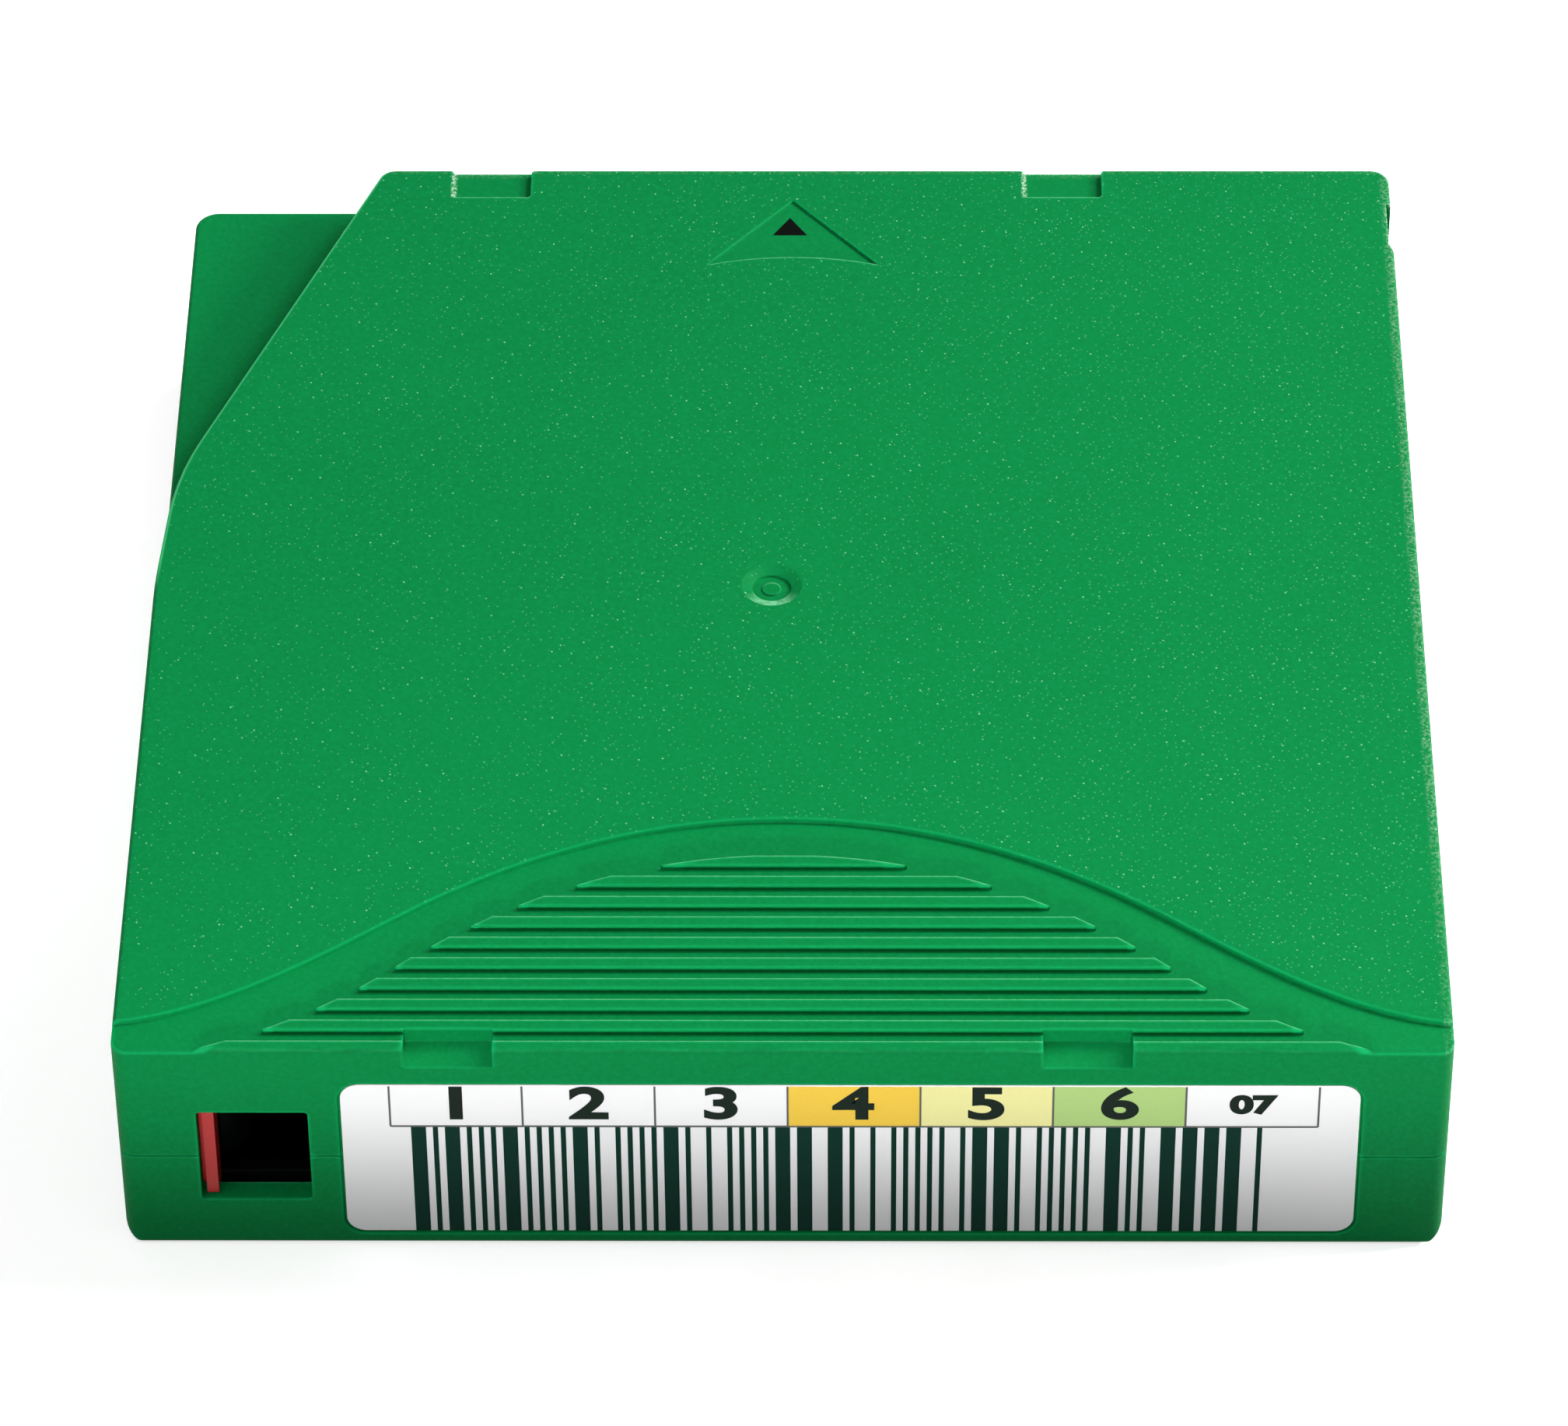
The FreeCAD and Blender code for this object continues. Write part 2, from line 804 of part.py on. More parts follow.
def make_upper_flange():
    inner = hub_r - hub_wall - fit_gap - flange_lip_t
    ring = tube(reel_x, reel_y, inner, flange_r, hub_top, hub_top + flange_t)
    lip = tube(reel_x, reel_y, inner, inner + flange_lip_t, hub_top - flange_lip_h, hub_top)
    return ring.fuse(lip).removeSplitter()


def make_tape_pack():
    return tube(reel_x, reel_y, hub_r, pack_r, tape_z0, tape_z1)


def make_clutch_plate():
    return tube(reel_x, reel_y, plate_r0, plate_r1, reel_z - plate_t, reel_z)


# ---- brake and release -------------------------------------------------------------------
def brake_base_z():
    return web_top + brake_tooth_h + brake_mesh_gap


def brake_top_z():
    return brake_base_z() + brake_disc_t


def make_brake_button():
    z0 = brake_base_z()
    z1 = brake_top_z()
    body = disc(reel_x, reel_y, brake_disc_r, z0, z1)
    body = body.fuse(disc(reel_x, reel_y, boss_r, z1, z1 + boss_h))
    half = key_side / 2 + key_play
    socket = box(reel_x - half, reel_x + half, reel_y - half, reel_y + half, z1, z1 + boss_h + 1)
    teeth = crown_teeth(brake_teeth, brake_r0, brake_r1, z0 + 0.1, web_top + brake_mesh_gap)
    for tooth in teeth:
        tooth.rotate(vec(reel_x, reel_y, 0), vec(0, 0, 1), 180.0 / brake_teeth)
    return body.cut(socket).fuse(teeth).removeSplitter()


def coil(radius, wire_r, turns, length):
    """Coil spring along +Z, built from half turns whose planes tilt left and right in turn."""
    corners = []
    for index in range(wire_sides):
        angle = 2 * math.pi * (index + 0.5) / wire_sides
        corners.append(vec(wire_r * math.cos(angle), 0, wire_r * math.sin(angle)))
    halves = []
    rise = (length - 2 * wire_r) / (2 * turns)
    for index in range(2 * turns):
        side = 1 if index % 2 == 0 else -1
        start = vec(side * radius, 0, wire_r + index * rise)
        points = [start.add(corner) for corner in corners]
        section = Part.Face(Part.makePolygon(points + points[:1]))
        axis = vec(side * rise / 2, 0, radius).normalize()
        halves.append(section.revolve(vec(0, 0, start.z + rise / 2), axis, 180))
        corners = [axis * (2 * corner.dot(axis)) - corner for corner in corners]
    return halves[0].fuse(halves[1:])


def make_brake_spring():
    room = roof_z - brake_top_z() - 2 * fit_gap
    spring = coil(brake_spring_r, brake_spring_wire_r, brake_spring_turns, room)
    spring.translate(vec(reel_x, reel_y, brake_top_z() + fit_gap))
    return spring


def make_release_spider():
    z0 = web_top + spider_gap
    ring = tube(reel_x, reel_y, spider_r0, brake_disc_r, z0, z0 + spider_t)
    legs = [disc(x, y, leg_r, reel_z - leg_below_web, z0 + spider_t) for x, y in leg_centres()]
    return ring.fuse(legs).removeSplitter()


# ---- door, leader pin and leader ------------------------------------------------------------
def make_door():
    plate = box(door_x0, door_x1, door_y0, door_y1, door_z0, door_z1)
    tab_y1 = door_window_y1 - door_tab_inset
    tab = box(door_x0 - door_tab_out, door_x0, tab_y1 - door_tab_w, tab_y1, door_tab_z[0], door_tab_z[1])
    lug = box(door_x0, lug_x1, door_y0, door_y0 + door_lug_l, door_lug_z[0], door_lug_z[1])
    return plate.fuse([tab, lug]).removeSplitter()


def make_door_spring():
    spring = coil(spring_r, spring_wire_r, spring_turns, door_y0 - spring_stop_y - 2 * fit_gap)
    spring.rotate(vec(0, 0, 0), vec(1, 0, 0), -90)
    spring.translate(vec(spring_x, spring_stop_y + fit_gap, spring_z))
    return spring


def make_leader_pin():
    shaft = disc(pin_x, pin_y, pin_r, pin_z0, pin_z1)
    low = disc(pin_x, pin_y, pin_flange_r, pin_z0, pin_z0 + pin_flange_t)
    high = disc(pin_x, pin_y, pin_flange_r, pin_z1 - pin_flange_t, pin_z1)
    return shaft.fuse([low, high]).removeSplitter()


def make_pin_clip():
    z0 = pin_z0 + pin_flange_t + clip_inset
    z1 = pin_z1 - pin_flange_t - clip_inset
    sleeve = tube(pin_x, pin_y, clip_r0, clip_r1, z0, z1)
    mouth = box(pin_x - clip_r1 - 1, pin_x, pin_y - clip_slot / 2, pin_y + clip_slot / 2, z0, z1)
    return sleeve.cut(mouth)


def make_pin_spring():
    """Bent strip behind the pin: a back against the case and an arm over each end of the pin."""
    x0 = pin_x - pin_spring_w / 2
    x1 = pin_x + pin_spring_w / 2
    y0 = pin_y + pin_flange_r + fit_gap
    y1 = inner_rear - fit_gap
    back = box(x0, x1, y1 - pin_spring_t, y1, pin_z0, pin_z1)
    low = box(x0, x1, y0, y1, pin_z0, pin_z0 + pin_spring_t)
    high = box(x0, x1, y0, y1, pin_z1 - pin_spring_t, pin_z1)
    return back.fuse([low, high]).removeSplitter()


def make_leader_tape():
    """First length of tape, from the edge of the pack to the clip on the pin."""
    outward = vec(math.cos(leader_angle), math.sin(leader_angle))
    start = vec(reel_x, reel_y).add(outward * leave_r)
    run = vec(pin_x, pin_y).sub(start)
    heading = vec(run.x, run.y).normalize()
    end = start.add(vec(heading.x, heading.y).multiply(run.Length - clip_r1 - fit_gap))
    sink = pin_mid_z - (tape_z0 + tape_z1) / 2
    corners = [
        start.add(vec(0, 0, tape_z0)),
        end.add(vec(0, 0, tape_z0 + sink)),
        end.add(vec(0, 0, tape_z1 + sink)),
        start.add(vec(0, 0, tape_z1)),
    ]
    return Part.Face(Part.makePolygon(corners + corners[:1])).extrude(outward * leader_t)


# ---- screws and memory --------------------------------------------------------------------
def make_screws():
    screws = []
    for x, y in screw_places:
        shank = disc(x, y, screw_r, screw_seat_z, screw_seat_z + screw_len)
        head = disc(x, y, screw_head_r, screw_seat_z - screw_head_h, screw_seat_z)
        screws.append(shank.fuse(head).removeSplitter())
    return Part.makeCompound(screws)


def make_memory_board():
    half = memory_w / 2
    return memory_place(box(-half, half, -memory_t / 2, memory_t / 2, floor_t, floor_t + memory_h))


def make_memory_chip():
    half = chip_side / 2
    middle = floor_t + memory_h * 0.6
    y0 = memory_t / 2
    return memory_place(box(-half, half, y0, y0 + chip_t, middle - half, middle + half))


def main():
    case = hollow_case()
    pieces = {
        "upper_shell": make_upper_shell(case),
        "lower_shell": make_lower_shell(case),
        "case_screws": make_screws(),
        "barcode_label": make_label(),
        "write_protect_slider": make_slider(),
        "memory_board": make_memory_board(),
        "memory_chip": make_memory_chip(),
        "access_door": make_door(),
        "door_spring": make_door_spring(),
        "leader_pin": make_leader_pin(),
        "pin_clip": make_pin_clip(),
        "pin_spring": make_pin_spring(),
        "leader_tape": make_leader_tape(),
        "tape_pack": make_tape_pack(),
        "reel_hub": make_reel_hub(),
        "upper_flange": make_upper_flange(),
        "clutch_plate": make_clutch_plate(),
        "brake_button": make_brake_button(),
        "brake_spring": make_brake_spring(),
        "release_spider": make_release_spider(),
    }
    os.makedirs("parts", exist_ok=True)
    for name, shape in pieces.items():
        shape.exportStep("parts/" + name + ".step")
        state = "valid" if shape.isValid() else "NOT VALID"
        print(name, len(shape.Solids), "solid(s)", round(shape.Volume, 1), "mm3", state)


main()
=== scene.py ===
import bpy
import bmesh
import math
from mathutils import Matrix, Vector


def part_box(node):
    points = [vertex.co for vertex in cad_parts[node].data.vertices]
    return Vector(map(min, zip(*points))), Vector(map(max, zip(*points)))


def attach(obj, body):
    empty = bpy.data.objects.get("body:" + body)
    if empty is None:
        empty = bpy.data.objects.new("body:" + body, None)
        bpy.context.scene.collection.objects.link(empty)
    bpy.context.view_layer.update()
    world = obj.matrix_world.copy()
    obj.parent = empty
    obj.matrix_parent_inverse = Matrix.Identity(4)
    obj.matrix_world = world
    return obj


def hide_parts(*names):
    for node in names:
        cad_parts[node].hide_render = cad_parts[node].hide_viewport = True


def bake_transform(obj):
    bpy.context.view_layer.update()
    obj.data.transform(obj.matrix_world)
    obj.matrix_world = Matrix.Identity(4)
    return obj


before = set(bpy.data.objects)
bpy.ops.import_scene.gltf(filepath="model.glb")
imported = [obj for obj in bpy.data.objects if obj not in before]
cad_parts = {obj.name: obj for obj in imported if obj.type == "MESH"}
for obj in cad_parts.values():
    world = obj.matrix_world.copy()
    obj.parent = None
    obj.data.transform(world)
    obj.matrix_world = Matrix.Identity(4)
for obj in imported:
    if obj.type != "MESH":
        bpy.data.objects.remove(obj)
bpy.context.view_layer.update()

MM = 0.001

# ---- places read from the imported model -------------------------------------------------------
top_lo, top_hi = (Vector(corner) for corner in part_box("upper_shell"))
label_lo, label_hi = (Vector(corner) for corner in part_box("barcode_label"))
reel_lo, reel_hi = (Vector(corner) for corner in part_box("reel_hub"))
slider_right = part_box("write_protect_slider")[1][0]
reel_x = (reel_lo.x + reel_hi.x) / 2
reel_y = (reel_lo.y + reel_hi.y) / 2
half_w = top_hi.x
front_y = top_lo.y
rear_y = top_hi.y
top_z = top_hi.z

# ---- places that the case materials pick out, in metres --------------------------------------
NOTCH_WALLS = (-28.68 * MM, 19.92 * MM)
NOTCH_FRONT_Y = rear_y - 3.9 * MM
GRIP_CROWN_Y = front_y + 25.3 * MM
GRIP_SIDE_Y = front_y + 2.95 * MM
GRIP_FLAT = 4 * MM
GRIP_REACH = 56 * MM
CUT_END_Y = rear_y - 54 * MM
CUT_RIGHT_X = -half_w + 18.5 * MM
# Bounds of the painted shade on the walls behind the switch window.
ROOM_LEFT_X = -half_w + 1.7 * MM
ROOM_RIGHT_X = slider_right + 10 * MM
ROOM_FRONT_Y = front_y + 1.85 * MM
ROOM_REAR_Y = front_y + 24 * MM
ROOM_FLOOR_Z = 1.2 * MM
ROOM_ROOF_Z = top_z - 2 * MM

# ---- scale of the textures, in metres --------------------------------------------------------
NOISE_TURN = (0.61, 0.37, 0.83)
EDGE_REACH = 0.45 * MM
EDGE_ROUND = 0.18 * MM
GRAIN = 0.16 * MM
LATHE_RING = 0.35 * MM
TAPE_RING = 0.12 * MM

# ---- sizes of what is drawn here, in metres --------------------------------------------------
PRINT_T = 0.02 * MM
CELL_PITCH = 10.13 * MM
CELL_COUNT = 7
CELL_LEFT = 3.75 * MM
CELL_H = 4.5 * MM
LINE_T = 0.16 * MM
BAR_THIN = 0.4 * MM
BAR_WIDE = 1.15 * MM
GAP_THIN = 0.52 * MM
GAP_WIDE = 1.2 * MM
BARS_LEFT = 5.3 * MM
BARS_RIGHT = 5.8 * MM
BAR_FOOT = 0.02 * MM
DIGIT_H = 3.56 * MM
DIGIT_RAISE = 0.1 * MM
DIGIT_WIDEN = 1.3
DIGIT_WEIGHT = 0.12 * MM
DIGIT_MERGE = 0.001 * MM
LAST_DIGITS = "07"
LAST_DIGITS_SHARE = 0.6
ARROW_DEPTH = 0.2 * MM
ARROW_BACK = 8.6 * MM
ARROW_HALF = 1.45 * MM
ARROW_LENGTH = 2.3 * MM

# At 5, 6 or 8 steps the mesh of the 3 is left with an open edge; at 10 all seven are closed.
DIGIT_CURVE_STEPS = 10


# ---- material building -----------------------------------------------------------------------
class Surface:
    """A node material under construction, with short calls for the nodes used here."""

    def __init__(self, name):
        self.material = bpy.data.materials.new(name)
        self.material.use_nodes = True
        self.tree = self.material.node_tree
        self.shader = self.tree.nodes["Principled BSDF"]
        self.coords = self.tree.nodes.new("ShaderNodeTexCoord").outputs["Object"]
        self._axes = None
        self._turned = None

    def node(self, kind, **settings):
        made = self.tree.nodes.new(kind)
        for name, value in settings.items():
            setattr(made, name, value)
        return made

    def put(self, socket, value):
        if isinstance(value, bpy.types.NodeSocket):
            self.tree.links.new(value, socket)
        else:
            socket.default_value = value

    def math(self, operation, first, second=0.0):
        made = self.node("ShaderNodeMath", operation=operation)
        self.put(made.inputs[0], first)
        self.put(made.inputs[1], second)
        return made.outputs[0]

    def product(self, first, *others):
        for other in others:
            first = self.math("MULTIPLY", first, other)
        return first

    def split(self, vector):
        made = self.node("ShaderNodeSeparateXYZ")
        self.put(made.inputs[0], vector)
        return made.outputs

    def axis(self, letter):
        if self._axes is None:
            self._axes = self.split(self.coords)
        return self._axes["XYZ".index(letter)]

    def step(self, value, low, high, out_low=0.0, out_high=1.0, smooth=True):
        kind = "SMOOTHSTEP" if smooth else "LINEAR"
        made = self.node("ShaderNodeMapRange", interpolation_type=kind)
        for slot, number in enumerate((value, low, high, out_low, out_high)):
            self.put(made.inputs[slot], number)
        return made.outputs[0]

    def turned(self):
        """Coordinates turned off the axes, so that no noise grid lines up with a flat face."""
        if self._turned is None:
            mapping = self.node("ShaderNodeMapping")
            self.put(mapping.inputs["Vector"], self.coords)
            mapping.inputs["Rotation"].default_value = NOISE_TURN
            self._turned = mapping.outputs[0]
        return self._turned

    def noise(self, size, detail=2.0, rough=0.5, stretch=None):
        made = self.node("ShaderNodeTexNoise")
        if stretch is None:
            vector = self.turned()
        else:
            mapping = self.node("ShaderNodeMapping")
            self.put(mapping.inputs["Vector"], self.coords)
            mapping.inputs["Scale"].default_value = stretch
            vector = mapping.outputs[0]
        self.put(made.inputs["Vector"], vector)
        made.inputs["Scale"].default_value = 1.0 / size
        made.inputs["Detail"].default_value = detail
        made.inputs["Roughness"].default_value = rough
        return made.outputs["Fac"]

    def cells(self, size):
        made = self.node("ShaderNodeTexVoronoi", voronoi_dimensions="2D")
        self.put(made.inputs["Vector"], self.turned())
        made.inputs["Scale"].default_value = 1.0 / size
        return made

    def mix(self, amount, first, second):
        made = self.node("ShaderNodeMix", data_type="RGBA")
        self.put(made.inputs[0], amount)
        self.put(made.inputs[6], first)
        self.put(made.inputs[7], second)
        return made.outputs[2]

    def bump(self, height, distance, strength=1.0, below=None):
        made = self.node("ShaderNodeBump")
        self.put(made.inputs["Height"], height)
        made.inputs["Distance"].default_value = distance
        made.inputs["Strength"].default_value = strength
        if below is not None:
            self.put(made.inputs["Normal"], below)
        return made.outputs[0]

    def finish(self, color, roughness=0.5, normal=None, metallic=0.0, **constants):
        self.put(self.shader.inputs["Base Color"], color)
        self.put(self.shader.inputs["Roughness"], roughness)
        self.shader.inputs["Metallic"].default_value = metallic
        if normal is not None:
            self.put(self.shader.inputs["Normal"], normal)
        for name, value in constants.items():
            self.shader.inputs[name.replace("_", " ")].default_value = value
        return self.material


def rgba(red, green, blue):
    return (red, green, blue, 1.0)


def grey(level):
    return (level, level, level, 1.0)


def shaded(color, factor):
    return tuple(part * factor for part in color[:3]) + (1.0,)


CASE_DARK = rgba(0.0004, 0.172, 0.038)
CASE_LIGHT = rgba(0.0008, 0.206, 0.046)
CASE_FINE = rgba(0.0015, 0.222, 0.059)
# Colour of the painted highlight on the outward edges of the case.
CASE_EDGE_HIGHLIGHT = rgba(0.004, 0.42, 0.125)
REAR_EDGE_HIGHLIGHT = rgba(0.20, 0.60, 0.32)
CUT_EDGE_HIGHLIGHT = rgba(0.06, 0.62, 0.22)
SPECK_GLINT = rgba(0.24, 0.62, 0.34)
SCUFF_AND_HIGHLIGHT = rgba(0.42, 0.60, 0.44)
# Near black of the painted shade behind the switch window.
ROOM_PAINTED_SHADE = rgba(0.0006, 0.0020, 0.0012)
OFF_WHITE = rgba(0.62, 0.62, 0.59)
STEEL = rgba(0.56, 0.56, 0.57)
WIRE_STEEL = rgba(0.60, 0.60, 0.61)


def speck_mask(surface, size, radius, share):
    """Small round spots of mixed strength, one in some of the cells of a random flat grid."""
    cells = surface.cells(size)
    near = surface.step(cells.outputs["Distance"], radius / size * 1.4, radius / size * 0.6)
    split = surface.node("ShaderNodeSeparateColor")
    surface.put(split.inputs[0], cells.outputs["Color"])
    chosen = surface.math("LESS_THAN", split.outputs[0], share)
    strength = surface.step(split.outputs[1], 0.0, 1.0, 0.25, 1.0, smooth=False)
    return surface.product(near, chosen, strength)


def grip_mask(surface):
    """1 inside the bell-shaped grip field of the top, 0 on the main field."""
    across = surface.math("ABSOLUTE", surface.axis("X"))
    edge = surface.step(across, GRIP_FLAT, GRIP_REACH, GRIP_CROWN_Y, GRIP_SIDE_Y)
    beyond = surface.math("SUBTRACT", edge, surface.axis("Y"))
    return surface.step(beyond, -0.2 * MM, 0.4 * MM)


def up_mask(surface):
    """1 where the surface faces up, 0 on the sides."""
    geometry = surface.node("ShaderNodeNewGeometry")
    return surface.step(surface.split(geometry.outputs["Normal"])[2], 0.7, 0.95)


def case_material(name, top):
    surface = Surface(name)
    broad = surface.noise(30 * MM, 2.0)
    fine = surface.noise(0.45 * MM, 3.0, 0.65)
    color = surface.mix(broad, CASE_DARK, CASE_LIGHT)
    color = surface.mix(surface.step(fine, 0.3, 0.8), color, CASE_FINE)
    edge = convex_edges(surface)
    # Painted highlight: the outward edges are mixed towards a lighter green, as if they caught the
    # light.
    color = surface.mix(surface.product(edge, 0.85), color, CASE_EDGE_HIGHLIGHT)
    soft = surface.node("ShaderNodeBevel", samples=4)
    soft.inputs["Radius"].default_value = EDGE_ROUND
    # Painted highlight: a broken pale line on the edges that look to the rear.
    rear_highlight = rear_edge_highlight(surface, soft.outputs[0])
    color = surface.mix(rear_highlight, color, REAR_EDGE_HIGHLIGHT)
    # Painted highlight along the top edge of the stepped corner.
    color = surface.mix(cut_edge_highlight(surface, soft.outputs[0]), color, CUT_EDGE_HIGHLIGHT)
    grain = surface.noise(GRAIN, 2.0, 0.6)
    roughness = surface.step(grain, 0.3, 0.7, 0.44, 0.60)
    if top:
        # Painted glints: pale specks on the main field of the top.
        color = surface.mix(top_glint_specks(surface), color, SPECK_GLINT)
        # Pale scuffs on the right-hand edge and the rear notch walls, and a painted highlight
        # along the rear edge.
        wear = surface.math("MAXIMUM", edge_wear_and_rear_highlight(surface, edge), notch_wear(surface))
        color = surface.mix(wear, color, SCUFF_AND_HIGHLIGHT)
    # Painted shade: the walls behind the switch window are coloured near black.
    color = surface.mix(switch_room_painted_shade(surface), color, ROOM_PAINTED_SHADE)
    normal = surface.bump(grain, 0.012 * MM, 0.6, soft.outputs[0])
    return surface.finish(color, roughness, normal, Specular_IOR_Level=0.06)


def rear_edge_highlight(surface, soft_normal):
    """A broken painted highlight on the top's edges that look to the rear."""
    turned = surface.step(surface.split(soft_normal)[1], 0.10, 0.38)
    broken = surface.step(surface.noise(0.5 * MM, 3.0, 0.7), 0.36, 0.56, 0.45, 1.0)
    return surface.product(turned, up_mask(surface), broken)


def cut_edge_highlight(surface, soft_normal):
    """A painted highlight: a light line where the top turns down to the stepped corner."""
    turned = surface.step(surface.split(soft_normal)[0], -0.08, -0.35)
    behind = surface.step(surface.axis("Y"), CUT_END_Y, CUT_END_Y + 4 * MM)
    left = surface.step(surface.axis("X"), CUT_RIGHT_X, CUT_RIGHT_X - 1.5 * MM)
    high = surface.step(surface.axis("Z"), top_z - 1.2 * MM, top_z - 0.9 * MM)
    return surface.product(turned, behind, left, high)


def switch_room_painted_shade(surface):
    """1 on the walls behind the switch window, which are painted near black as shade, 0 elsewhere.
    """
    mask = 1.0
    for letter, low, high in (
        ("X", ROOM_LEFT_X, ROOM_RIGHT_X),
        ("Y", ROOM_FRONT_Y, ROOM_REAR_Y),
        ("Z", ROOM_FLOOR_Z, ROOM_ROOF_Z),
    ):
        above = surface.math("GREATER_THAN", surface.axis(letter), low)
        below = surface.math("LESS_THAN", surface.axis(letter), high)
        mask = surface.product(mask, above, below)
    return mask


# Mask of the painted edge highlight; it also weights the edge scuffs and the rear highlight.
def convex_edges(surface):
    """1 along the outward edges, falling to 0 within EDGE_REACH of them."""
    inside = surface.node("ShaderNodeAmbientOcclusion", samples=6, inside=True, only_local=True)
    inside.inputs["Distance"].default_value = EDGE_REACH
    return surface.step(inside.outputs["AO"], 0.85, 0.35)


def top_glint_specks(surface):
    """Scattered pale specks on the main field of the top, thicker towards the right: painted
    glints of its grained surface.
    """
    outside = surface.math("SUBTRACT", 1.0, grip_mask(surface))
    high = surface.math("GREATER_THAN", surface.axis("Z"), top_z - 0.2 * MM)
    field = surface.product(outside, up_mask(surface), high)
    density = surface.step(surface.axis("X"), -half_w, half_w, 0.30, 0.62, smooth=False)
    small = speck_mask(surface, 0.5 * MM, 0.045 * MM, density)
    large = speck_mask(surface, 1.3 * MM, 0.060 * MM, density)
    both = surface.math("MAXIMUM", surface.product(small, 0.5), large)
    return surface.product(both, field)


def edge_wear_and_rear_highlight(surface, edge):
    """Pale scuffs along the right-hand edge of the top, and a painted highlight along its rear
    edge.
    """
    speckle = surface.step(surface.noise(0.26 * MM, 3.0, 0.7), 0.46, 0.60)
    right = surface.step(surface.axis("X"), half_w - 1.0 * MM, half_w - 0.5 * MM)
    ahead = surface.step(surface.axis("Y"), front_y + 4 * MM, front_y + 30 * MM, 0.35, 1.0)
    right = surface.product(right, ahead)
    # Painted highlight along the rear edge of the top.
    rear = surface.step(surface.axis("Y"), rear_y - 0.8 * MM, rear_y - 0.3 * MM, 0.0, 0.6)
    high = surface.step(surface.axis("Z"), top_z - 1.0 * MM, top_z - 0.3 * MM)
    either = surface.math("MAXIMUM", right, rear)
    return surface.product(either, high, speckle, surface.math("ADD", edge, 0.25))


def notch_wear(surface):
    """Pale scuffs on the left wall of each rear notch."""
    speckle = surface.step(surface.noise(0.22 * MM, 3.0, 0.7), 0.44, 0.58)
    near = None
    for x in NOTCH_WALLS:
        away = surface.math("ABSOLUTE", surface.math("SUBTRACT", surface.axis("X"), x))
        here = surface.step(away, 0.30 * MM, 0.12 * MM)
        near = here if near is None else surface.math("MAXIMUM", near, here)
    behind = surface.step(surface.axis("Y"), NOTCH_FRONT_Y, NOTCH_FRONT_Y + 0.3 * MM)
    high = surface.step(surface.axis("Z"), top_z - 0.75 * MM, top_z - 0.6 * MM)
    return surface.product(near, behind, high, speckle)


def plain_plastic(name, color, rough):
    surface = Surface(name)
    speck = surface.noise(0.25 * MM, 2.0, 0.6)
    broad = surface.noise(9 * MM, 2.0)
    mixed = surface.mix(broad, color, shaded(color, 1.12))
    normal = surface.bump(speck, 0.01 * MM, 0.5)
    roughness = surface.step(speck, 0.3, 0.7, rough - 0.06, rough + 0.08)
    return surface.finish(mixed, roughness, normal)


def brushed_metal(name, color, rough):
    surface = Surface(name)
    lines = surface.noise(0.6 * MM, 3.0, 0.6, stretch=(1, 1, 12))
    mixed = surface.mix(lines, shaded(color, 0.8), color)
    normal = surface.bump(lines, 0.004 * MM, 0.4)
    roughness = surface.step(lines, 0.3, 0.7, rough - 0.06, rough + 0.1)
    return surface.finish(mixed, roughness, normal, metallic=1.0)


def reel_rings(surface, pitch):
    """A wave from -1 to 1 in rings about the reel axis."""
    dx = surface.math("SUBTRACT", surface.axis("X"), reel_x)
    dy = surface.math("SUBTRACT", surface.axis("Y"), reel_y)
    square = surface.math("ADD", surface.product(dx, dx), surface.product(dy, dy))
    radius = surface.math("SQRT", square)
    return surface.math("SINE", surface.product(radius, 2 * math.pi / pitch))


def turned_metal(name, color, rough):
    """Fine rings about the reel axis, as facing on a lathe leaves."""
    surface = Surface(name)
    shade = surface.step(reel_rings(surface, LATHE_RING), -1.0, 1.0)
    mixed = surface.mix(shade, shaded(color, 0.86), color)
    normal = surface.bump(shade, 0.004 * MM, 0.5)
    roughness = surface.step(shade, 0, 1, rough, rough + 0.12)
    return surface.finish(mixed, roughness, normal, metallic=1.0)


def wound_tape(name):
    """Edges of the turns, as fine rings about the reel axis."""
    surface = Surface(name)
    fine = reel_rings(surface, TAPE_RING)
    bands = surface.noise(1.7 * MM, 3.0)
    shade = surface.step(surface.math("ADD", fine, bands), -1.0, 2.0)
    mixed = surface.mix(shade, rgba(0.018, 0.013, 0.011), rgba(0.050, 0.038, 0.032))
    normal = surface.bump(shade, 0.003 * MM, 0.5)
    return surface.finish(mixed, 0.28, normal)


def label_paper(name):
    surface = Surface(name)
    fibre = surface.noise(0.30 * MM, 3.0, 0.6)
    broad = surface.noise(14 * MM, 2.0)
    mixed = surface.mix(broad, rgba(0.86, 0.865, 0.87), rgba(0.91, 0.912, 0.915))
    normal = surface.bump(fibre, 0.004 * MM, 0.4)
    return surface.finish(mixed, surface.step(fibre, 0.3, 0.7, 0.36, 0.46), normal)


def ink(name, color, rough=0.42):
    surface = Surface(name)
    speck = surface.noise(0.18 * MM, 2.0, 0.6)
    lighter = tuple(min(1.0, part * 1.08 + 0.004) for part in color[:3]) + (1.0,)
    mixed = surface.mix(speck, color, lighter)
    normal = surface.bump(speck, 0.003 * MM, 0.4)
    roughness = surface.step(speck, 0.3, 0.7, rough - 0.05, rough + 0.06)
    return surface.finish(mixed, roughness, normal, Specular_IOR_Level=0.04)


# ---- mesh building ---------------------------------------------------------------------------
def add_object(name, mesh, material, body):
    piece = bpy.data.objects.new(name, mesh)
    bpy.context.scene.collection.objects.link(piece)
    piece.data.materials.append(material)
    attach(piece, body)
    return piece


def join_rings(build, lower, upper):
    """Side walls between two rings of as many points."""
    for index in range(len(lower)):
        following = (index + 1) % len(lower)
        build.faces.new((lower[index], lower[following], upper[following], upper[index]))


